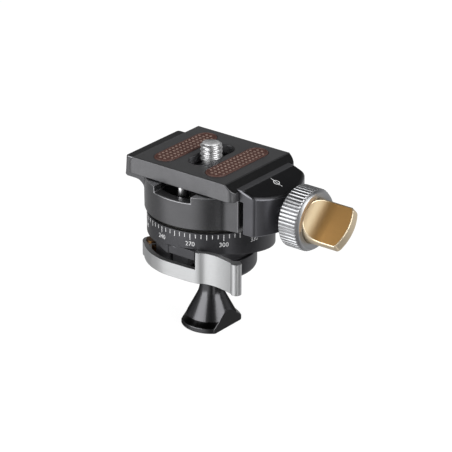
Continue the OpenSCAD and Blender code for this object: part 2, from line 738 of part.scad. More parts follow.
// camera screw with a slotted head
module camera_screw() {
  z = plate_bottom + screw_head_t + 0.25;
  color("#c9cbcd") difference() {
    union() {
      translate([0, 0, plate_bottom + 0.1]) cylinder(r = screw_head_r, h = screw_head_t);
      translate([0, 0, plate_bottom + 1]) cylinder(r = cam_screw_r - 0.4, h = plate_t - 1 + e);
      translate([0, 0, plate_top]) cylinder(r = cam_screw_r, h = cam_screw_h - 0.5);
      translate([0, 0, plate_top + cam_screw_h - 0.5 - e])
        cylinder(r1 = cam_screw_r, r2 = cam_screw_r - 0.5, h = 0.5 + e);
    }
    translate([-10, -0.8, plate_bottom - 1]) cube([20, 1.6, 2]);
  }
}

ball_stem();
dust_shield();
ball_cup();
ball_housing();
draw_bolt();
cam_pivot();
cam_washer();
lock_lever();
scale_ring();
ring_screws();
pan_spindle();
pan_disc();
pan_shim();
clamp_body();
guide_pins();
clamp_stud();
jaw_spring();
movable_jaw();
knob_ring();
knob_paddle();
knob_pin();
plate();
strip_left();
strip_right();
stop_screws();
screw_clip();
camera_screw();
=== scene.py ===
"""Looks of a small panning ball head with a knob clamp and a quick-release plate."""

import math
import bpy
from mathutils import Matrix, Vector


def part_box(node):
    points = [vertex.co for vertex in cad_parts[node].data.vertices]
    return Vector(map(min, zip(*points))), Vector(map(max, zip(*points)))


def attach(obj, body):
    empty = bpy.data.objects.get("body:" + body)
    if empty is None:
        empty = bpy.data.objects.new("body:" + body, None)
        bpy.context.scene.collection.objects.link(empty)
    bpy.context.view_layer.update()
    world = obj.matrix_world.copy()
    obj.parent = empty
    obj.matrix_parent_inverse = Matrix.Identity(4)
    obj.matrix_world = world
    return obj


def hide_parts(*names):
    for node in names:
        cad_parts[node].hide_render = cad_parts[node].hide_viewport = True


bl_info = {
    "name": "Panning Ball Head",
    "version": (1, 0, 0),
    "blender": (4, 5, 0),
    "location": "View3D > Sidebar > Ball Head",
    "description": "Dresses the solids of a small ball head with detailed pieces and finishes",
    "category": "Object",
}

import bmesh
import bpy
from mathutils import Matrix, Vector

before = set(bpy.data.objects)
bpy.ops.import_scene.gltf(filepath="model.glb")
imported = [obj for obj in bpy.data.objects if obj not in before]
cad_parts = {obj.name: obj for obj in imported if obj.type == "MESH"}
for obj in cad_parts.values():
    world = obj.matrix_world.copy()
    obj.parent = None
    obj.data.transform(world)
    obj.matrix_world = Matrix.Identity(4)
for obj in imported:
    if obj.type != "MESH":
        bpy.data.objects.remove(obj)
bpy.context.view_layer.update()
MM = 0.001


class BallHeadSizes(bpy.types.PropertyGroup):
    """Sizes of the details that the solids leave plain."""

    edge: bpy.props.FloatProperty(
        name="Edge break", description="Width of the broken edges on machined parts",
        default=0.25 * MM, precision=5, unit="LENGTH")
    knurl_count: bpy.props.IntProperty(
        name="Knob ridges", description="Straight ridges round the knob", default=50, min=12)
    knurl_depth: bpy.props.FloatProperty(
        name="Ridge depth", description="Depth of the grooves round the knob",
        default=0.32 * MM, precision=5, unit="LENGTH")
    camera_pitch: bpy.props.FloatProperty(
        name="Camera thread pitch", description="Pitch of the camera screw and of the base thread",
        default=1.27 * MM, precision=5, unit="LENGTH")
    stud_pitch: bpy.props.FloatProperty(
        name="Stud thread pitch", description="Pitch of the clamp stud",
        default=0.8 * MM, precision=5, unit="LENGTH")
    dial_step: bpy.props.IntProperty(
        name="Dial step", description="Degrees between two ticks of the dial", default=5, min=1)
    tick_width: bpy.props.FloatProperty(
        name="Tick width", description="Width of a tick of the dial",
        default=0.2 * MM, precision=5, unit="LENGTH")
    digit_height: bpy.props.FloatProperty(
        name="Digit height", description="Height of the numbers of the dial",
        default=1.32 * MM, precision=5, unit="LENGTH")
    dot_pitch: bpy.props.FloatProperty(
        name="Dot pitch", description="Distance between the dots of the grip strips",
        default=1.5 * MM, precision=5, unit="LENGTH")


class BallHeadColours(bpy.types.PropertyGroup):
    """Colours of the finishes, as sRGB hex values."""

    anodised: bpy.props.StringProperty(
        name="Black anodising", description="Dial and collar", default="#505053")
    body: bpy.props.StringProperty(
        name="Grey-black anodising", description="Clamp body", default="#666668")
    charcoal: bpy.props.StringProperty(
        name="Plate anodising", description="Top plate", default="#757577")
    jaw: bpy.props.StringProperty(
        name="Jaw anodising", description="Movable jaw", default="#606064")
    stem: bpy.props.StringProperty(
        name="Black chrome", description="Ball, neck and foot", default="#525254")
    lever: bpy.props.StringProperty(
        name="Satin aluminium", description="Lever", default="#cfd0d1")
    knob: bpy.props.StringProperty(
        name="Turned aluminium", description="Knob ring", default="#b4b5b7")
    groove: bpy.props.StringProperty(
        name="Painted groove shade", description="Grooves of the knob ring", default="#98989a")
    lever_edge: bpy.props.StringProperty(
        name="Painted lever edge shade", description="Broken edges of the lever", default="#68686a")
    gold: bpy.props.StringProperty(
        name="Gold anodising", description="Scoops of the knob paddle", default="#c69a5f")
    gold_wall: bpy.props.StringProperty(
        name="Painted gold reflection", description="Where the scoops rise to the knob ring", default="#a5957a")
    gold_edge: bpy.props.StringProperty(
        name="Painted gold edge highlight", description="Milled edges of the knob paddle", default="#f0dfc2")
    steel: bpy.props.StringProperty(
        name="Stainless steel", description="Screws and pins", default="#dfdfe0")
    # painted shade: the brass is darkened, as it sits deep inside the lever
    brass: bpy.props.StringProperty(
        name="Brass", description="Lever pivot and its seat", default="#6e4f2c")
    rubber: bpy.props.StringProperty(
        name="Grip rubber", description="Grip strips", default="#4e312a")
    dots: bpy.props.StringProperty(
        name="Dot rubber", description="Raised dots of the grip strips", default="#7b665d")
    marks: bpy.props.StringProperty(
        name="Mark filling", description="Filled marks on the dial and the jaw", default="#d0d0d1")
    liner: bpy.props.StringProperty(
        name="Acetal liner", description="Dust shield and ball cup", default="#2b2b2d")
    slip: bpy.props.StringProperty(
        name="Slip plastic", description="Friction disc and shim", default="#d8d4c8")


def linear(code):
    """Linear RGBA of an sRGB hex value."""
    parts = [int(code[i:i + 2], 16) / 255 for i in (1, 3, 5)]
    rgb = [c / 12.92 if c <= 0.04045 else ((c + 0.055) / 1.055) ** 2.4 for c in parts]
    return (*rgb, 1.0)


def shade(code, factor):
    """Linear RGBA of an sRGB hex value, made lighter or darker."""
    rgb = linear(code)[:3]
    return (*[min(1.0, c * factor) for c in rgb], 1.0)


def add(tree, kind, inputs=None, **settings):
    """Add one node, give it its settings, and set or link its inputs."""
    node = tree.nodes.new(kind)
    for key, value in settings.items():
        setattr(node, key, value)
    for key, value in (inputs or {}).items():
        if isinstance(value, bpy.types.NodeSocket):
            tree.links.new(value, node.inputs[key])
        else:
            node.inputs[key].default_value = value
    return node


def start_finish(name, **constants):
    """New material with its shader, whose constant sockets are set by name."""
    material = bpy.data.materials.new(name)
    material.use_nodes = True
    tree = material.node_tree
    shader = tree.nodes["Principled BSDF"]
    for key, value in constants.items():
        shader.inputs[key.replace("_", " ")].default_value = value
    return material, tree, shader


def blasted(name, code, metal=0.85, rough=0.36, lift=1.0, relief=0.35):
    """Aluminium blasted with fine glass beads, then anodised: a soft sheen with a fine grain."""
    material, tree, shader = start_finish(name, Metallic=metal)
    place = add(tree, "ShaderNodeTexCoord").outputs["Object"]
    # bead marks are about 0.05 mm across and drawn at 0.28 mm so that they show
    grain = add(tree, "ShaderNodeTexNoise", {"Vector": place, "Scale": 1 / (0.28 * MM),
                                             "Detail": 2.0})
    # the dye takes a little unevenly over about 5 mm
    cloud = add(tree, "ShaderNodeTexNoise", {"Vector": place, "Scale": 1 / (5 * MM), "Detail": 3.0})
    dye = add(tree, "ShaderNodeMix", {0: cloud.outputs[0], 6: shade(code, 0.86 * lift),
                                      7: shade(code, 1.14 * lift)}, data_type="RGBA")
    spread = 0.62 * relief
    spark = add(tree, "ShaderNodeMix", {0: grain.outputs[0], 6: (*[1 - spread] * 3, 1.0),
                                        7: (*[1 + spread] * 3, 1.0)}, data_type="RGBA")
    tone = add(tree, "ShaderNodeMix", {0: 1.0, 6: dye.outputs[2], 7: spark.outputs[2]},
               data_type="RGBA", blend_type="MULTIPLY")
    tree.links.new(tone.outputs[2], shader.inputs["Base Color"])
    gloss = add(tree, "ShaderNodeMapRange", {"Value": grain.outputs[0], "To Min": rough - 0.06,
                                             "To Max": rough + 0.06})
    tree.links.new(gloss.outputs[0], shader.inputs["Roughness"])
    bump = add(tree, "ShaderNodeBump", {"Strength": relief, "Distance": 0.012 * MM,
                                        "Height": grain.outputs[0]})
    tree.links.new(bump.outputs[0], shader.inputs["Normal"])
    return material


def brushed(name, code, along, rough=0.3, streak=0.1, fade=None):
    """Aluminium brushed one way: bright, with fine lines along the grain and a soft sheen across it.

    A fade names a second colour and gives the x where it is full and where it has gone.
    """
    material, tree, shader = start_finish(name, Metallic=1.0)
    place = add(tree, "ShaderNodeTexCoord").outputs["Object"]
    # brush lines are about 0.02 mm apart and drawn at 0.12 mm so that they show, each about 6 mm long
    fine = 1 / (0.12 * MM)
    scale = [1 / (6 * MM) if axis == along else fine for axis in "xyz"]
    lines = add(tree, "ShaderNodeMapping", {"Vector": place, "Scale": scale})
    grain = add(tree, "ShaderNodeTexNoise", {"Vector": lines.outputs[0], "Scale": 1.0, "Detail": 2.0})
    tone = add(tree, "ShaderNodeMix", {0: grain.outputs[0], 6: shade(code, 1 - streak),
                                       7: shade(code, 1 + streak)}, data_type="RGBA")
    if fade:
        second, full, gone = fade
        reach = add(tree, "ShaderNodeSeparateXYZ", {0: place}).outputs["X"]
        share = add(tree, "ShaderNodeMapRange", {"Value": reach, "From Min": gone, "From Max": full},
                    interpolation_type="SMOOTHSTEP")
        other = linear(getattr(bpy.context.scene.ball_head_colours, second))
        tone = add(tree, "ShaderNodeMix", {0: share.outputs[0], 6: tone.outputs[2], 7: other},
                   data_type="RGBA")
    tree.links.new(tone.outputs[2], shader.inputs["Base Color"])
    gloss = add(tree, "ShaderNodeMapRange", {"Value": grain.outputs[0], "To Min": rough - 0.07,
                                             "To Max": rough + 0.07})
    tree.links.new(gloss.outputs[0], shader.inputs["Roughness"])
    bump = add(tree, "ShaderNodeBump", {"Strength": 0.25, "Distance": 0.006 * MM,
                                        "Height": grain.outputs[0]})
    tree.links.new(bump.outputs[0], shader.inputs["Normal"])
    return material


def turned(name, code, metal, rough, step, axis="z", rim=1.0):
    """Metal turned on a lathe: fine rings round the axis that catch the light in thin lines.

    A rim below 1 makes the reflections darker where the surface turns away.
    """
    material, tree, shader = start_finish(name, Metallic=metal, Specular_Tint=(rim, rim, rim, 1.0))
    place = add(tree, "ShaderNodeTexCoord").outputs["Object"]
    # the rings are one step of the tool apart, and each changes slowly on its way round, over 25 mm
    scale = [1 / step if letter == axis else 1 / (25 * MM) for letter in "xyz"]
    feed = add(tree, "ShaderNodeMapping", {"Vector": place, "Scale": scale})
    rings = add(tree, "ShaderNodeTexNoise", {"Vector": feed.outputs[0], "Scale": 1.0, "Detail": 1.0})
    # the gloss varies a little over about 3 mm, as from handling
    smear = add(tree, "ShaderNodeTexNoise", {"Vector": place, "Scale": 1 / (3 * MM), "Detail": 4.0})
    tone = add(tree, "ShaderNodeMix", {0: rings.outputs[0], 6: shade(code, 0.9), 7: shade(code, 1.1)},
               data_type="RGBA")
    tree.links.new(tone.outputs[2], shader.inputs["Base Color"])
    gloss = add(tree, "ShaderNodeMapRange", {"Value": smear.outputs[0], "To Min": rough * 0.88,
                                             "To Max": rough * 1.12})
    tree.links.new(gloss.outputs[0], shader.inputs["Roughness"])
    bump = add(tree, "ShaderNodeBump", {"Strength": 0.15, "Distance": 0.006 * MM,
                                        "Height": rings.outputs[0]})
    tree.links.new(bump.outputs[0], shader.inputs["Normal"])
    return material


def moulded(name, code, rough, grit, relief):
    """Moulded rubber or plastic: even colour, soft gloss and the fine texture of the mould."""
    material, tree, shader = start_finish(name, Metallic=0.0, IOR=1.5)
    place = add(tree, "ShaderNodeTexCoord").outputs["Object"]
    grain = add(tree, "ShaderNodeTexNoise", {"Vector": place, "Scale": 1 / grit, "Detail": 3.0})
    tone = add(tree, "ShaderNodeMix", {0: grain.outputs[0], 6: shade(code, 0.8), 7: shade(code, 1.2)},
               data_type="RGBA")
    tree.links.new(tone.outputs[2], shader.inputs["Base Color"])
    gloss = add(tree, "ShaderNodeMapRange", {"Value": grain.outputs[0], "To Min": rough - 0.08,
                                             "To Max": rough + 0.08})
    tree.links.new(gloss.outputs[0], shader.inputs["Roughness"])
    bump = add(tree, "ShaderNodeBump", {"Strength": 0.3, "Distance": relief,
                                        "Height": grain.outputs[0]})
    tree.links.new(bump.outputs[0], shader.inputs["Normal"])
    return material


# painted reflection: the gold is paler where the scoops rise to the knob ring: its colour there, and
# the x where that is full and where it has gone
KNOB_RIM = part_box("knob_ring")[1][0]
PAINTED_ROOT_TONE = ("gold_wall", KNOB_RIM + 0.5 * MM, KNOB_RIM + 4.0 * MM)

# how each finish is made, its colour and its settings
FINISHES = {
    # dial and collar: nearly black with a dull sheen, a shade darker at the edges
    "Black anodised aluminium": (blasted, "anodised", {}),
    "Black anodised aluminium, darker edge": (blasted, "anodised", {"lift": 0.8}),
    # clamp body: smoother, so that its wall shows soft bands, with a painted highlight on the edges
    # and painted shade on the top and the lower rounded edge
    "Grey-black anodised aluminium": (blasted, "body", {"rough": 0.24, "relief": 0.1}),
    "Grey-black anodised aluminium, painted edge highlight": (blasted, "body", {"lift": 2.2}),
    "Grey-black anodised aluminium, painted shade": (blasted, "body", {"lift": 0.36}),
    # plate: an even grey with a fine grain, with painted shade on the edges, the top and the bevels
    "Charcoal anodised aluminium": (blasted, "charcoal", {}),
    "Charcoal anodised aluminium, painted edge shade": (blasted, "charcoal", {"lift": 0.6}),
    "Charcoal anodised aluminium, painted top shade": (blasted, "charcoal", {"lift": 0.8}),
    "Charcoal anodised aluminium, painted bevel shade": (blasted, "charcoal", {"lift": 0.16}),
    # movable jaw: smooth and dark, with a painted highlight on the edges, painted shade on the slope
    # and a matt land in painted shade
    "Deep black anodised aluminium": (blasted, "jaw", {"rough": 0.32, "relief": 0.06}),
    "Deep black anodised aluminium, painted edge highlight": (blasted, "jaw", {"lift": 1.8}),
    "Deep black anodised aluminium, painted slope shade": (blasted, "jaw", {"lift": 0.3}),
    "Deep black anodised aluminium, matt land in painted shade": (
        blasted, "jaw", {"metal": 0.0, "rough": 0.7, "lift": 0.3, "relief": 0.1}),
    # foot, neck and ball: glossy black with reflections painted darker to the sides, with dull flats
    # and a chamfer in painted shade
    "Black chromed steel": (
        turned, "stem", {"metal": 0.9, "rough": 0.21, "step": 0.1 * MM, "rim": 0.1}),
    "Black chromed steel, painted chamfer shade": (
        blasted, "stem", {"metal": 1.0, "rough": 0.3, "lift": 0.08, "relief": 0.1}),
    "Black chromed steel, dull flat in painted shade": (blasted, "stem", {"rough": 0.4, "lift": 0.25}),
    # lever and knob: bright and soft, with painted shade on the lever's edges and in the knob's
    # grooves, which are also rougher
    "Satin aluminium": (brushed, "lever", {"along": "x", "rough": 0.42}),
    "Satin aluminium, painted edge shade": (brushed, "lever_edge", {"along": "x", "rough": 0.42}),
    "Satin aluminium, turned": (
        turned, "knob", {"metal": 1.0, "rough": 0.4, "step": 0.12 * MM, "axis": "x"}),
    "Satin aluminium, groove in painted shade": (
        turned, "groove", {"metal": 1.0, "rough": 0.5, "step": 0.12 * MM, "axis": "x"}),
    # paddle: warm and soft in the scoops, with a painted tone where they rise to the ring and a
    # painted highlight on the milled end, sides and edges
    "Gold anodised aluminium": (
        brushed, "gold", {"along": "x", "rough": 0.48, "streak": 0.05, "fade": PAINTED_ROOT_TONE}),
    "Gold anodised aluminium, painted edge highlight": (
        brushed, "gold_edge", {"along": "x", "rough": 0.42, "streak": 0.05}),
    # screws, pins, spring and pivot: shiny with fine rings, dull on the faced end
    "Stainless steel": (turned, "steel", {"metal": 1.0, "rough": 0.36, "step": 0.1 * MM}),
    "Stainless steel, faced": (blasted, "steel", {"rough": 0.6}),
    "Spring steel": (turned, "steel", {"metal": 1.0, "rough": 0.3, "step": 0.2 * MM, "axis": "x"}),
    # brass: darkened as painted shade, for its place inside the lever
    "Brass": (turned, "brass", {"metal": 1.0, "rough": 0.32, "step": 0.15 * MM}),
    # strips: matt brown, paler on the dots
    "Grip rubber": (moulded, "rubber", {"rough": 0.55, "grit": 0.2 * MM, "relief": 0.02 * MM}),
    "Grip rubber, dots": (moulded, "dots", {"rough": 0.5, "grit": 0.15 * MM, "relief": 0.01 * MM}),
    # marks, liners and slip discs: an even colour and a soft gloss
    "White mark filling": (moulded, "marks", {"rough": 0.6, "grit": 0.1 * MM, "relief": 0.005 * MM}),
    "Black acetal": (moulded, "liner", {"rough": 0.4, "grit": 0.4 * MM, "relief": 0.01 * MM}),
    "White slip plastic": (moulded, "slip", {"rough": 0.35, "grit": 0.5 * MM, "relief": 0.01 * MM}),
}


def finish(name):
    """Material of that name, made the first time that it is asked for."""
    maker, colour, settings = FINISHES[name]
    code = getattr(bpy.context.scene.ball_head_colours, colour)
    return bpy.data.materials.get(name) or maker(name, code, **settings)


def piece(name, shape, body, finishes, stands_for=(), sharp=38.0):
    """Object from a bmesh, smooth up to an angle, that rides on a body and may replace CAD nodes."""
    mesh = bpy.data.meshes.new(name)
    shape.to_mesh(mesh)
    shape.free()
    mesh.shade_smooth()
    mesh.set_sharp_from_angle(angle=math.radians(sharp))
    for finish_name in finishes:
        mesh.materials.append(finish(finish_name))
    made = bpy.data.objects.new(name, mesh)
    bpy.context.collection.objects.link(made)
    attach(made, body)
    if stands_for:
        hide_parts(*stands_for)
    return made


def copied(node):
    """Bmesh of a CAD node with its flat faces made whole."""
    shape = bmesh.new()
    shape.from_mesh(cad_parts[node].data)
    bmesh.ops.remove_doubles(shape, verts=shape.verts, dist=0.002 * MM)
    bmesh.ops.dissolve_limit(shape, angle_limit=math.radians(0.5), verts=shape.verts,
                             edges=shape.edges)
    return shape


def break_edges(shape, width, limit=30.0, keen=180.0, slot=-1):
    """Bevel the edges that turn by more than the limit and less than the keen angle."""
    least, most = math.radians(limit), math.radians(keen)
    edges = [e for e in shape.edges if e.is_manifold and least < e.calc_face_angle() < most]
    bmesh.ops.bevel(shape, geom=edges, offset=width, offset_type="OFFSET", segments=2, profile=0.5,
                    affect="EDGES", clamp_overlap=False, material=slot)


def softened(node, name, body, finishes, width=None, limit=30.0, blends=(), keen=180.0):
    """Copy of a CAD node with its sharp edges broken; the broken edges take the last of the finishes.

    Edges that a blend's test picks are first rounded by that blend's radius. Edges that turn by more
    than the keen angle stay as they are.
    """
    width = width or bpy.context.scene.ball_head_sizes.edge
    shape = copied(node)
    for test, radius in blends:
        bmesh.ops.bevel(shape, geom=[e for e in shape.edges if test(e)], offset=radius, segments=6,
                        offset_type="OFFSET", profile=0.5, affect="EDGES", clamp_overlap=False)
    for face in shape.faces:
        face.material_index = 0
    break_edges(shape, width, limit, keen, slot=len(finishes) - 1)
    made = piece(name, shape, body, finishes, (node,))
    weigh = made.modifiers.new("Flat faces", "WEIGHTED_NORMAL")
    weigh.keep_sharp = True
    return made


def dressed(node, finish_name):
    """Give a CAD node, kept in its own shape, its finish."""
    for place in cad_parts[node].material_slots:
        place.material = finish(finish_name)


def painted(made, finish_name, test):
    """Give a piece one more finish, on the faces that pass the test."""
    made.data.materials.append(finish(finish_name))
    last = len(made.data.materials) - 1
    for face in made.data.polygons:
        if test(face):
            face.material_index = last


def taken_in(shape, other):
    """Move the faces of another bmesh into this one."""
    mesh = bpy.data.meshes.new("taken in")
    other.to_mesh(mesh)
    other.free()
    shape.from_mesh(mesh)
    bpy.data.meshes.remove(mesh)


def laid_along_x(shape, start):
    """Turn a shape that stands on the z axis so that it runs along x from a point."""
    lie = Matrix.Translation(start) @ Matrix.Rotation(math.pi / 2, 4, "Y")
    bmesh.ops.transform(shape, matrix=lie, verts=shape.verts)


def circle(shape, r, z, count, x=0.0, y=0.0):
    """Closed row of vertices round a point."""
    turns = [2 * math.pi * place / count for place in range(count)]
    return [shape.verts.new((x + r * math.cos(a), y + r * math.sin(a), z)) for a in turns]


def skinned(shape, rows, slot=0):
    """Faces from each closed row of vertices to the next."""
    for below, above in zip(rows, rows[1:]):
        for place in range(len(below)):
            after = (place + 1) % len(below)
            face = shape.faces.new((below[place], below[after], above[after], above[place]))
            face.material_index = slot


def lathe(shape, stations, columns, radius=None):
    """Skin of revolution about z through stations of height and radius, closed where it meets z.

    A radius function may change the radius by station and turn.
    """
    rows = []
    for number, (z, r) in enumerate(stations):
        row = []
        for column in range(columns):
            turn = 2 * math.pi * column / columns
            reach = radius(number, turn, z, r) if radius else r
            row.append(shape.verts.new((reach * math.cos(turn), reach * math.sin(turn), z)))
        rows.append(row)
    skinned(shape, rows)
    bmesh.ops.remove_doubles(shape, verts=shape.verts, dist=0.001 * MM)
    bmesh.ops.recalc_face_normals(shape, faces=shape.faces)


def thread_skin(r, depth, pitch, length, chamfer, columns=64, steps=14):
    """Right-handed rolled thread about z from its lower end, with a chamfer at its upper end."""
    shape = bmesh.new()
    root = r - depth
    last = math.ceil(length / pitch) * steps
    rows = {}
    for column in range(columns):
        turn = 2 * math.pi * column / columns
        for step in range(-steps, last + steps + 1):
            z = min(length, max(0.0, pitch * (step / steps + column / columns)))
            reach = root + depth * (0.5 - 0.5 * math.cos(2 * math.pi * step / steps))
            reach = max(root, min(reach, r - chamfer + length - z))
            rows[column, step] = shape.verts.new((reach * math.cos(turn), reach * math.sin(turn), z))
    for column in range(columns):
        # one turn later the same flank is one pitch higher
        after, jump = (column + 1, 0) if column + 1 < columns else (0, steps)
        for step in range(-steps, last):
            corners = [rows[column, step], rows[after, step + jump],
                       rows[after, step + jump + 1], rows[column, step + 1]]
            if max(v.co.z for v in corners) - min(v.co.z for v in corners) > 1e-7:
                shape.faces.new(corners)
    # a plain core a little under the root closes the ends
    core = bmesh.new()
    within = root - 0.08 * MM
    lathe(core, [(0.0, 0.0), (0.0, within), (length - 0.05 * MM, within), (length, root),
                 (length, 0.0)], columns)
    taken_in(shape, core)
    return shape


def bearing(turn, rise):
    """Direction that lies at a turn from the front, to the right, and at a rise."""
    return Vector((math.sin(turn) * math.cos(rise), -math.cos(turn) * math.cos(rise), math.sin(rise)))


def set_camera(scene, turn, aim):
    """Camera that looks at a point from the right of the front."""
    # its rise, its focal length and the offset of its axis, these two in pixels of a square picture,
    # are fitted to the plate's corners and the round edges, as the turn is
    rise = math.radians(24.02)
    picture, focal, offset_x, offset_y = 452, 2800, 14.69, 0.67
    distance, sensor = 0.8, 36.0
    back = bearing(turn, rise)
    lens = bpy.data.cameras.new("Camera")
    lens.sensor_width = sensor
    lens.lens = sensor * focal / picture
    lens.shift_x = offset_x / picture
    lens.shift_y = offset_y / picture
    lens.clip_start = 0.05
    camera = bpy.data.objects.new("Camera", lens)
    camera.location = aim + distance * back
    camera.rotation_euler = back.to_track_quat("Z", "Y").to_euler()
    scene.collection.objects.link(camera)
    scene.camera = camera


def lay_floor(scene):
    """Sheet of white paper under the foot."""
    shape = bmesh.new()
    bmesh.ops.create_grid(shape, x_segments=1, y_segments=1, size=3.0)
    mesh = bpy.data.meshes.new("floor")
    shape.to_mesh(mesh)
    shape.free()
    floor = bpy.data.objects.new("floor", mesh)
    # a hair under the foot, so that the two faces don't meet
    floor.location.z = -0.02 * MM
    scene.collection.objects.link(floor)
    # white paper that also glows where the camera sees it, so that it comes out nearly white
    paper = bpy.data.materials.new("White paper")
    paper.use_nodes = True
    tree = paper.node_tree
    tree.nodes.clear()
    seen = add(tree, "ShaderNodeLightPath")
    matt = add(tree, "ShaderNodeBsdfDiffuse", {"Color": linear("#f4f4f4")})
    glow_share = 0.84
    glow = add(tree, "ShaderNodeEmission", {"Color": linear("#ffffff"), "Strength": 1.1})
    both = add(tree, "ShaderNodeMixShader", {0: glow_share, 1: matt.outputs[0], 2: glow.outputs[0]})
    pick = add(tree, "ShaderNodeMixShader", {0: seen.outputs["Is Camera Ray"], 1: matt.outputs[0],
                                             2: both.outputs[0]})
    add(tree, "ShaderNodeOutputMaterial", {"Surface": pick.outputs[0]})
    mesh.materials.append(paper)
    floor.visible_glossy = False


def light_room(scene, turn):
    """Even white light from all round, with panels that show only in reflections."""
    sky = bpy.data.worlds.new("Studio")
    scene.world = sky
    sky.use_nodes = True
    tree = sky.node_tree
    tree.nodes.clear()
    seen = add(tree, "ShaderNodeLightPath")
    camera_ray, through_ray = seen.outputs["Is Camera Ray"], seen.outputs["Is Transmission Ray"]
    first = add(tree, "ShaderNodeMath", {0: camera_ray, 1: through_ray}, operation="MAXIMUM")
    shown = add(tree, "ShaderNodeMath", {0: first.outputs[0], 1: seen.outputs["Is Glossy Ray"]},
                operation="MAXIMUM")
    # reflections: white paper behind and low down, a broad white panel on the left, a narrower one
    # on the right, a dark gap between them and a dim ceiling
    way = add(tree, "ShaderNodeTexCoord").outputs["Generated"]
    across = add(tree, "ShaderNodeVectorMath", {0: way, 1: (math.cos(turn), math.sin(turn), 0.0)},
                 operation="DOT_PRODUCT").outputs["Value"]
    ahead = add(tree, "ShaderNodeVectorMath", {0: way, 1: (math.sin(turn), -math.cos(turn), 0.0)},
                operation="DOT_PRODUCT").outputs["Value"]
    height = add(tree, "ShaderNodeSeparateXYZ", {0: way}).outputs["Z"]
    left = add(tree, "ShaderNodeMapRange", {"Value": across, "From Min": -0.12, "From Max": -0.5,
                                            "To Min": 0.05, "To Max": 1.0})
    edge = add(tree, "ShaderNodeMapRange", {"Value": across, "From Min": 0.4, "From Max": 0.58,
                                            "To Min": 1.3, "To Max": 0.04})
    right = add(tree, "ShaderNodeMapRange", {"Value": across, "From Min": 0.18, "From Max": 0.4,
                                             "To Min": 0.0, "To Max": edge.outputs[0]})
    panels = add(tree, "ShaderNodeMath", {0: left.outputs[0], 1: right.outputs[0]},
                 operation="ADD")
    paper = add(tree, "ShaderNodeMapRange", {"Value": across, "From Min": -0.6, "From Max": 0.5,
                                             "To Min": 0.33, "To Max": 0.55})
    behind = add(tree, "ShaderNodeMapRange", {"Value": ahead, "From Min": 0.15, "From Max": -0.2})
    walls = add(tree, "ShaderNodeMix", {0: behind.outputs[0], 2: panels.outputs[0],
                                        3: paper.outputs[0]})
    ceiling = add(tree, "ShaderNodeMapRange", {"Value": across, "From Min": -0.6, "From Max": 0.3,
                                               "To Min": 0.07, "To Max": 0.03})
    dim = add(tree, "ShaderNodeMapRange", {"Value": height, "From Min": 0.05, "From Max": 0.64,
                                           "To Min": 1.0, "To Max": ceiling.outputs[0]})
    room = add(tree, "ShaderNodeMath", {0: walls.outputs[0], 1: dim.outputs[0]},
               operation="MULTIPLY")
    level = add(tree, "ShaderNodeMath", {0: room.outputs[0], 1: first.outputs[0]},
                operation="MAXIMUM")
    fill = add(tree, "ShaderNodeBackground", {"Color": linear("#ffffff"), "Strength": 0.35})
    white = add(tree, "ShaderNodeBackground", {"Color": linear("#ffffff"),
                                               "Strength": level.outputs[0]})
    pick = add(tree, "ShaderNodeMixShader", {0: shown.outputs[0], 1: fill.outputs[0],
                                             2: white.outputs[0]})
    add(tree, "ShaderNodeOutputWorld", {"Surface": pick.outputs[0]})


def hang_lamps(scene, turn, aim):
    """Softboxes that face a point."""
    # name, turn from the camera, rise, distance, width, height, watts and whether it shows in
    # reflections
    lamps = (("left box", -60, 18, 0.6, 0.54, 0.48, 2.8, True),
             ("right box", 54, 30, 0.6, 0.46, 0.56, 3.0, True),
             ("top box", -10, 80, 0.7, 0.6, 0.6, 0.9, False))
    for name, side, lift, away, width, height, watts, shines in lamps:
        light = bpy.data.lights.new(name, "AREA")
        light.shape = "RECTANGLE"
        light.size = width
        light.size_y = height
        light.energy = watts
        lamp = bpy.data.objects.new(name, light)
        toward = bearing(turn + math.radians(side), math.radians(lift))
        lamp.location = aim + away * toward
        lamp.rotation_euler = toward.to_track_quat("Z", "Y").to_euler()
        lamp.visible_glossy = shines
        scene.collection.objects.link(lamp)


class BALLHEAD_OT_stem(bpy.types.Operator):
    """Turned foot, neck and ball with the thread in the foot"""

    bl_idname = "ball_head.stem"
    bl_label = "Stem"

    def execute(self, context):
        sizes = context.scene.ball_head_sizes
        foot_top = 12 * MM
        rim_top, chamfer_top = 1 * MM, 3.4 * MM

        def flat(face):
            """The two flats of the foot."""
            return abs(face.normal.x) > 0.97 and face.center.z < foot_top

        def chamfer(face):
            """The chamfer above the rim of the foot."""
            return 0.55 < face.normal.z < 0.85 and rim_top < face.center.z < chamfer_top

        stem = softened("ball_stem", "stem_turned", "stem", ["Black chromed steel"],
                        width=0.15 * MM, limit=18.0)
        # the flats are milled, so they are duller than the turned neck; the flats and the chamfer are
        # also painted darker, as shade
        painted(stem, "Black chromed steel, dull flat in painted shade", flat)
        painted(stem, "Black chromed steel, painted chamfer shade", chamfer)
        # ridges of the tapped hole stand inside the bored wall
        wall, depth, mouth, deep = 3.17 * MM, 0.5 * MM, 0.45 * MM, 5.9 * MM
        steps = 56
        stations = [(mouth + deep * step / steps, wall) for step in range(steps + 1)]

        def ridge(number, turn, z, full):
            """Radius of the hole, less where the ridge of the thread passes."""
            phase = (z / sizes.camera_pitch - turn / (2 * math.pi)) % 1.0
            return full - depth * max(0.0, 1.3 * abs(2 * phase - 1) - 0.3)

        shape = bmesh.new()
        lathe(shape, stations, columns=48, radius=ridge)
        bmesh.ops.reverse_faces(shape, faces=shape.faces)
        piece("stem_tapped_hole", shape, "stem", ["Stainless steel"])
        return {"FINISHED"}


class BALLHEAD_OT_liners(bpy.types.Operator):
    """Dust shield and cup round the ball"""

    bl_idname = "ball_head.liners"
    bl_label = "Liners"

    def execute(self, context):
        dressed("dust_shield", "Black acetal")
        dressed("ball_cup", "Black acetal")
        return {"FINISHED"}


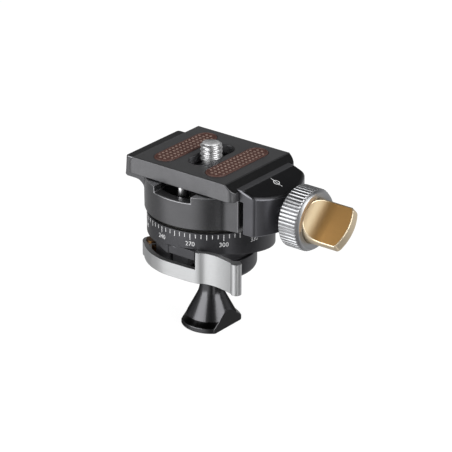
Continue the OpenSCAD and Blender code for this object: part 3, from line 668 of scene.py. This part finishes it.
class BALLHEAD_OT_collar(bpy.types.Operator):
    """Split collar with its bolt, pivot and seat"""

    bl_idname = "ball_head.collar"
    bl_label = "Collar"

    def execute(self, context):
        finishes = ["Black anodised aluminium", "Black anodised aluminium, darker edge"]
        softened("ball_housing", "collar_split", "base", finishes,
                 width=0.18 * MM)
        dressed("draw_bolt", "Black chromed steel")
        dressed("cam_pivot", "Brass")
        dressed("cam_washer", "Brass")
        return {"FINISHED"}


class BALLHEAD_OT_lever(bpy.types.Operator):
    """Bent quick lever with its step and bead"""

    bl_idname = "ball_head.lever"
    bl_label = "Lever"

    def execute(self, context):
        # the broken edges take a darker finish: painted shade
        softened("lock_lever", "lever_satin", "lever",
                 ["Satin aluminium", "Satin aluminium, painted edge shade"], width=0.1 * MM)
        return {"FINISHED"}


class BALLHEAD_OT_base(bpy.types.Operator):
    """Graduated base with the parts between it and the clamp"""

    bl_idname = "ball_head.base"
    bl_label = "Graduated base"

    def execute(self, context):
        finishes = ["Black anodised aluminium", "Black anodised aluminium, darker edge"]
        softened("scale_ring", "base_ring", "base", finishes)
        for node in ("ring_screws", "pan_spindle"):
            dressed(node, "Stainless steel")
        for node in ("pan_disc", "pan_shim"):
            dressed(node, "White slip plastic")
        return {"FINISHED"}


class BALLHEAD_OT_dial(bpy.types.Operator):
    """Filled ticks and numbers round the base"""

    bl_idname = "ball_head.dial"
    bl_label = "Dial marks"

    def execute(self, context):
        sizes = context.scene.ball_head_sizes
        low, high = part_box("scale_ring")
        wall = (high[0] - low[0]) / 2
        top = high[2] - 0.35 * MM
        # the filling starts under the wall and stands a little proud of it
        layer = (wall - 0.03 * MM, wall + 0.02 * MM)
        layer_middle, layer_half = wall - 0.005 * MM, 0.025 * MM
        long_tick, middle_tick, short_tick = 1.85 * MM, 1.55 * MM, 1.2 * MM
        base = top - 2.35 * MM - sizes.digit_height
        # a digit of the font is about this share of the font's size
        digit_share = 0.7
        # 270 faces the front of the lever, a little left of the middle
        front_number, front_turn = 270, -70.9
        zero = math.radians(front_turn - front_number)
        shape = bmesh.new()

        def wrap(across, z, r):
            """Point of the wall at a distance round it from the zero of the dial."""
            turn = zero + across / wall
            return (r * math.cos(turn), r * math.sin(turn), z)

        for mark in range(0, 360, sizes.dial_step):
            tall = long_tick if mark % 30 == 0 else middle_tick if mark % 15 == 0 else short_tick
            middle = math.radians(mark) * wall
            ends = []
            for z in (top, top - tall):
                for r in layer:
                    for side in (-0.5, 0.5):
                        ends.append(shape.verts.new(wrap(middle + side * sizes.tick_width, z, r)))
            for face in ((2, 3, 7, 6), (0, 1, 3, 2), (4, 6, 7, 5),
                         (0, 2, 6, 4), (1, 5, 7, 3), (0, 4, 5, 1)):
                shape.faces.new([ends[i] for i in face])
        for number in range(0, 360, 30):
            curve = bpy.data.curves.new("digits", "FONT")
            curve.body = str(number)
            curve.align_x = "CENTER"
            curve.size = sizes.digit_height / digit_share
            curve.extrude = layer_half
            holder = bpy.data.objects.new("digits", curve)
            flat = bpy.data.meshes.new_from_object(holder)
            middle = math.radians(number) * wall
            for vert in flat.vertices:
                x, y, z = vert.co
                vert.co = wrap(middle + x, base + y, layer_middle + z)
            shape.from_mesh(flat)
            bpy.data.objects.remove(holder)
            bpy.data.curves.remove(curve)
            bpy.data.meshes.remove(flat)
        bmesh.ops.recalc_face_normals(shape, faces=shape.faces)
        piece("dial_marks", shape, "base", ["White mark filling"])
        return {"FINISHED"}


class BALLHEAD_OT_clamp(bpy.types.Operator):
    """Round clamp body with the pins, stud and spring of its jaw"""

    bl_idname = "ball_head.clamp"
    bl_label = "Clamp body"

    def execute(self, context):
        sizes = context.scene.ball_head_sizes
        # the broken edges take a lighter finish: a painted highlight
        finishes = ["Grey-black anodised aluminium", "Grey-black anodised aluminium, painted edge highlight"]
        low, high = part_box("clamp_body")
        near, wall_within = 0.02 * MM, 17 * MM

        def corner(edge):
            """The two upright corners of the fixed jaw."""
            one, two = (vert.co for vert in edge.verts)
            return max(one.x, two.x) < low[0] + near and abs(one.z - two.z) > 1 * MM

        def rim(edge):
            """The lower outer edge of the wall."""
            below = all(vert.co.z < low[2] + near for vert in edge.verts)
            outside = all(math.hypot(vert.co.x, vert.co.y) > wall_within for vert in edge.verts)
            return below and outside and edge.is_manifold and edge.calc_face_angle() > 1.0

        def dark(face):
            """The top of the fixed jaw and the rounded lower edge of the wall."""
            under = -0.95 < face.normal.z < -0.2 and face.center.z < low[2] + 1 * MM
            return under or (face.normal.z > 0.9 and face.center.z > high[2] - 2 * MM)

        body = softened("clamp_body", "clamp_round", "clamp", finishes,
                        blends=((corner, 0.9 * MM), (rim, 0.5 * MM)))
        # painted shade: the top of the fixed jaw and the rounded lower edge of the wall are darker
        # than the turned wall
        painted(body, "Grey-black anodised aluminium, painted shade", dark)
        stud_low, stud_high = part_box("clamp_stud")
        radius = (stud_high[2] - stud_low[2]) / 2
        middle = Vector((stud_low[0], 0, (stud_high[2] + stud_low[2]) / 2))
        shape = thread_skin(radius, depth=0.45 * MM, pitch=sizes.stud_pitch,
                            length=stud_high[0] - stud_low[0], chamfer=0.4 * MM)
        laid_along_x(shape, middle)
        piece("clamp_stud_thread", shape, "clamp", ["Spring steel"], ("clamp_stud",))
        for node in ("guide_pins", "jaw_spring"):
            dressed(node, "Spring steel")
        return {"FINISHED"}


class BALLHEAD_OT_jaw(bpy.types.Operator):
    """Movable jaw with the index mark on its slope"""

    bl_idname = "ball_head.jaw"
    bl_label = "Movable jaw"

    def execute(self, context):
        # the broken edges take a lighter finish: a painted highlight
        finishes = ["Deep black anodised aluminium", "Deep black anodised aluminium, painted edge highlight"]

        def rim(edge):
            """The edge between the slope and the upright outline."""
            tilts = sorted(face.normal.z for face in edge.link_faces)
            return edge.is_manifold and abs(tilts[0]) < 0.1 and 0.5 < tilts[1] < 0.97

        def slope(face):
            """The slope of the top, without its broken edges."""
            return face.material_index == 0 and 0.5 < face.normal.z < 0.97

        def land(face):
            """The flat land beside the plate."""
            return face.normal.z >= 0.97 and face.center.z > high - 0.1 * MM

        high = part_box("movable_jaw")[1][2]
        jaw = softened("movable_jaw", "jaw_sloped", "jaw", finishes,
                       width=0.35 * MM, blends=((rim, 1.0 * MM),), keen=120.0)
        # painted shade: the slope and the land are darker, and the land is matt as well
        painted(jaw, "Deep black anodised aluminium, painted slope shade", slope)
        painted(jaw, "Deep black anodised aluminium, matt land in painted shade", land)
        # the index mark is a ring with a bar across it and beyond it on both sides
        shape = bmesh.new()
        bottom, top = -0.02 * MM, 0.02 * MM
        inner, outer, reach, half = 0.74 * MM, 0.98 * MM, 2.1 * MM, 0.1 * MM
        section = ((inner, bottom), (inner, top), (outer, top), (outer, bottom))
        rings = [circle(shape, r, z, count=40) for r, z in section]
        skinned(shape, rings + rings[:1])
        for start, end in ((-reach, -outer), (-inner, inner), (outer, reach)):
            bar = bmesh.ops.create_cube(shape, size=1.0)
            size = Matrix.Diagonal((end - start, 2 * half, top - bottom, 1.0))
            place = Matrix.Translation(((start + end) / 2, 0, 0)) @ size
            bmesh.ops.transform(shape, matrix=place, verts=bar["verts"])
        # the slope falls by 0.35 mm in each mm from the land's outer edge, and the mark lies on it
        fall, land_edge, mark_x = 0.35, 20.67 * MM, 22.98 * MM
        middle = Vector((mark_x, 0.1 * MM, high - (mark_x - land_edge) * fall))
        lay = Matrix.Translation(middle) @ Matrix.Rotation(math.atan(fall), 4, "Y")
        bmesh.ops.transform(shape, matrix=lay, verts=shape.verts)
        bmesh.ops.recalc_face_normals(shape, faces=shape.faces)
        piece("jaw_index_mark", shape, "jaw", ["White mark filling"])
        return {"FINISHED"}


class BALLHEAD_OT_knob(bpy.types.Operator):
    """Ridged knob ring with its gold paddle and pin"""

    bl_idname = "ball_head.knob"
    bl_label = "Knob"

    def execute(self, context):
        sizes = context.scene.ball_head_sizes
        low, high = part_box("knob_ring")
        full = (high[2] - low[2]) / 2
        middle = Vector((low[0], 0, (high[2] + low[2]) / 2))
        # sizes of the section in mm: whole length and radius, then the start of the ridged part, the
        # bore, the collar and the well that the paddle stands in
        length, r = (high[0] - low[0]) / MM, full / MM
        back = length - 7.3
        bore, bore_end = 2.54, back + 4.0
        collar = 3.4
        well, well_floor = 6.42, length - 2.6
        # height along the axis, radius and share of the ridge depth, all from the bore outwards
        profile = [(bore_end, 0, 0), (bore_end, bore, 0), (0.15, bore, 0), (0, bore + 0.16, 0),
                   (0, collar - 0.2, 0), (0.2, collar, 0), (back, collar, 0), (back, r - 1.1, 0),
                   (back + 0.12, r - 0.85, 0), (back + 0.45, r - 0.42, 0), (back + 0.8, r, 1),
                   (length - 1.15, r, 1), (length - 0.95, r - 0.25, 0.3),
                   (length - 0.85, r - 0.45, 0), (length - 0.7, r - 0.3, 0),
                   (length - 0.2, r - 0.62, 0), (length, r - 0.85, 0), (length, well + 0.33, 0),
                   (length - 0.12, well + 0.08, 0), (length - 0.5, well, 0), (well_floor, well, 0),
                   (well_floor, 0, 0)]
        stations = [(x * MM, reach * MM) for x, reach, share in profile]
        teeth = sizes.knurl_count

        def ridge(number, turn, z, reach):
            """Radius of the ring, less in the grooves between the ridges."""
            share = profile[number][2]
            phase = (turn * teeth / (2 * math.pi)) % 1.0
            rise = min(1.0, max(0.0, 2.4 * (1 - abs(2 * phase - 1)) - 0.3))
            return reach - share * sizes.knurl_depth * (1 - rise)

        shape = bmesh.new()
        lathe(shape, stations, columns=8 * teeth, radius=ridge)
        # painted shade: the faces deep in the grooves take the darker groove finish
        for face in shape.faces:
            across = face.calc_center_median()
            reach = math.hypot(across.x, across.y)
            ridged = (back + 0.4) * MM < across.z < (length - 0.9) * MM
            face.material_index = 1 if ridged and reach < full - 0.5 * sizes.knurl_depth else 0
        laid_along_x(shape, middle)
        piece("knob_ridged", shape, "knob",
              ["Satin aluminium, turned", "Satin aluminium, groove in painted shade"], ("knob_ring",), sharp=30.0)
        wing = softened("knob_paddle", "knob_wing", "knob",
                        ["Gold anodised aluminium", "Gold anodised aluminium, painted edge highlight"],
                        width=0.3 * MM)
        # painted highlight: the blade's milled end, sides and edges are lighter than the scoops; it
        # leans by 45 degrees
        blade = Vector((0.0, -math.sqrt(0.5), math.sqrt(0.5)))
        scoop_end, scoop_side = high[0] + 4 * MM, 6.1 * MM
        for face in wing.data.polygons:
            away = face.center - middle
            outside = face.center.x > scoop_end or math.hypot(away.y, away.z) > scoop_side
            milled = outside and abs(face.normal.dot(blade)) < 0.6
            face.material_index = 1 if milled or (outside and face.material_index == 1) else 0
        dressed("knob_pin", "Spring steel")
        return {"FINISHED"}


class BALLHEAD_OT_plate(bpy.types.Operator):
    """Quick-release plate with its stop screws and screw clip"""

    bl_idname = "ball_head.plate"
    bl_label = "Plate"

    def execute(self, context):
        # the broken edges take a darker finish: painted shade
        finishes = ["Charcoal anodised aluminium", "Charcoal anodised aluminium, painted edge shade"]

        def top(face):
            """The top, without its broken edges."""
            return face.material_index == 0 and face.normal.z > 0.9

        def bevel(face):
            """The bevels of the dovetail that look up."""
            return face.material_index == 0 and 0.3 < face.normal.z < 0.9 and abs(face.normal.x) > 0.3

        plate = softened("plate", "plate_dovetail", "plate", finishes)
        # painted shade: the top and the bevels are darker than the front and back
        painted(plate, "Charcoal anodised aluminium, painted top shade", top)
        painted(plate, "Charcoal anodised aluminium, painted bevel shade", bevel)
        softened("stop_screws", "plate_stop_screws", "plate", ["Stainless steel"],
                 width=0.12 * MM)
        dressed("screw_clip", "Spring steel")
        return {"FINISHED"}


class BALLHEAD_OT_strips(bpy.types.Operator):
    """Grip strips with a rim and rows of raised dots"""

    bl_idname = "ball_head.strips"
    bl_label = "Grip strips"

    def execute(self, context):
        sizes = context.scene.ball_head_sizes
        finishes = ["Grip rubber", "Grip rubber, dots"]
        # radius and rise of a dot's rings in mm, and how far the dots keep from the edge
        dot = ((0.42, 0.0), (0.34, 0.12), (0.18, 0.19))
        margin = 0.75 * MM
        round_steps = 16
        for node, name in (("strip_left", "grip_left"), ("strip_right", "grip_right")):
            low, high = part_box(node)
            half_width = (high[0] - low[0]) / 2
            half_length = (high[1] - low[1]) / 2 - half_width
            middle = (low[0] + high[0]) / 2
            bed = high[2] - 0.2 * MM
            shape = bmesh.new()
            rows = []
            # inset in mm and height of the rim's section, from the outside to the bed of the dots
            profile = ((0, low[2]), (0, bed), (0.1, high[2] - 0.06 * MM), (0.22, high[2]),
                       (0.4, high[2]), (0.5, bed))
            for inset, z in profile:
                r = half_width - inset * MM
                row = []
                for end, start in ((1, 0.0), (-1, math.pi)):
                    for step in range(round_steps + 1):
                        turn = start + math.pi * step / round_steps
                        x = middle + r * math.cos(turn)
                        y = end * half_length + r * math.sin(turn)
                        row.append(shape.verts.new((x, y, z)))
                rows.append(row)
            skinned(shape, rows)
            shape.faces.new(rows[-1])
            shape.faces.new(reversed(rows[0]))
            across = int(half_width / sizes.dot_pitch)
            along = int((half_length + half_width) / sizes.dot_pitch)
            for column in range(-across, across):
                for line in range(-along, along + 1):
                    x = (column + 0.5) * sizes.dot_pitch
                    y = line * sizes.dot_pitch
                    beyond = max(0.0, abs(y) - half_length)
                    if math.hypot(x, beyond) > half_width - margin:
                        continue
                    rings = [circle(shape, r * MM, bed + lift * MM, count=10, x=middle + x, y=y)
                             for r, lift in dot]
                    skinned(shape, rings, slot=1)
                    cap = shape.faces.new(rings[-1])
                    cap.material_index = 1
            piece(name, shape, "plate", finishes, (node,), sharp=50.0)
        return {"FINISHED"}


class BALLHEAD_OT_camera_screw(bpy.types.Operator):
    """Threaded camera screw with its slotted head"""

    bl_idname = "ball_head.camera_screw"
    bl_label = "Camera screw"

    def execute(self, context):
        sizes = context.scene.ball_head_sizes
        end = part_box("camera_screw")[1][2]
        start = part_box("plate")[1][2] - 1.0 * MM
        radius = 3.175 * MM
        shape = thread_skin(radius, depth=0.62 * MM, pitch=sizes.camera_pitch, length=end - start,
                            chamfer=0.5 * MM)
        bmesh.ops.translate(shape, vec=(0, 0, start), verts=shape.verts)
        # the slotted head and the shank are the solid's own, up to just inside the thread
        head = copied("camera_screw")
        whole = [*head.verts, *head.edges, *head.faces]
        cut = bmesh.ops.bisect_plane(head, geom=whole, plane_co=(0, 0, start + 0.1 * MM),
                                     plane_no=(0, 0, 1), clear_outer=True)
        rim = [part for part in cut["geom_cut"] if isinstance(part, bmesh.types.BMEdge)]
        bmesh.ops.edgeloop_fill(head, edges=rim)
        break_edges(head, width=0.15 * MM)
        for face in head.faces:
            face.material_index = 0
        taken_in(shape, head)
        screw = piece("camera_screw_thread", shape, "screw", ["Stainless steel"],
                      ("camera_screw",), sharp=60.0)
        # the end is faced off and duller than the rolled thread
        painted(screw, "Stainless steel, faced", lambda face: face.center.z > end - 0.02 * MM)
        return {"FINISHED"}


class BALLHEAD_OT_stage(bpy.types.Operator):
    """Pale floor, soft lamps and the camera"""

    bl_idname = "ball_head.stage"
    bl_label = "Stage"

    def execute(self, context):
        scene = context.scene
        view_turn = math.radians(38.1)
        aim = Vector((0, 0, 30 * MM))
        set_camera(scene, view_turn, aim)
        lay_floor(scene)
        light_room(scene, view_turn)
        hang_lamps(scene, view_turn, aim)
        scene.view_settings.view_transform = "Standard"
        return {"FINISHED"}


class BALLHEAD_PT_panel(bpy.types.Panel):
    """Sizes, colours and pieces of the ball head"""

    bl_idname = "BALLHEAD_PT_panel"
    bl_label = "Ball Head"
    bl_space_type = "VIEW_3D"
    bl_region_type = "UI"
    bl_category = "Ball Head"

    def draw(self, context):
        column = self.layout.column()
        for group in (context.scene.ball_head_sizes, context.scene.ball_head_colours):
            for key in group.__annotations__:
                column.prop(group, key)
        for operator in OPERATORS:
            column.operator(operator.bl_idname)


OPERATORS = (
    BALLHEAD_OT_stem, BALLHEAD_OT_liners, BALLHEAD_OT_collar, BALLHEAD_OT_lever, BALLHEAD_OT_base,
    BALLHEAD_OT_dial, BALLHEAD_OT_clamp, BALLHEAD_OT_jaw, BALLHEAD_OT_knob, BALLHEAD_OT_plate,
    BALLHEAD_OT_strips, BALLHEAD_OT_camera_screw, BALLHEAD_OT_stage,
)
CLASSES = (BallHeadSizes, BallHeadColours, *OPERATORS, BALLHEAD_PT_panel)


def register():
    """Add the classes and hang the two groups on the scene."""
    for each in CLASSES:
        bpy.utils.register_class(each)
    bpy.types.Scene.ball_head_sizes = bpy.props.PointerProperty(type=BallHeadSizes)
    bpy.types.Scene.ball_head_colours = bpy.props.PointerProperty(type=BallHeadColours)


def unregister():
    """Take the groups and the classes away again."""
    del bpy.types.Scene.ball_head_colours
    del bpy.types.Scene.ball_head_sizes
    for each in reversed(CLASSES):
        bpy.utils.unregister_class(each)


def main():
    """Build every piece and the stage."""
    register()
    for operator in OPERATORS:
        group, action = operator.bl_idname.split(".")
        getattr(getattr(bpy.ops, group), action)()


if __name__ == "__main__":
    main()
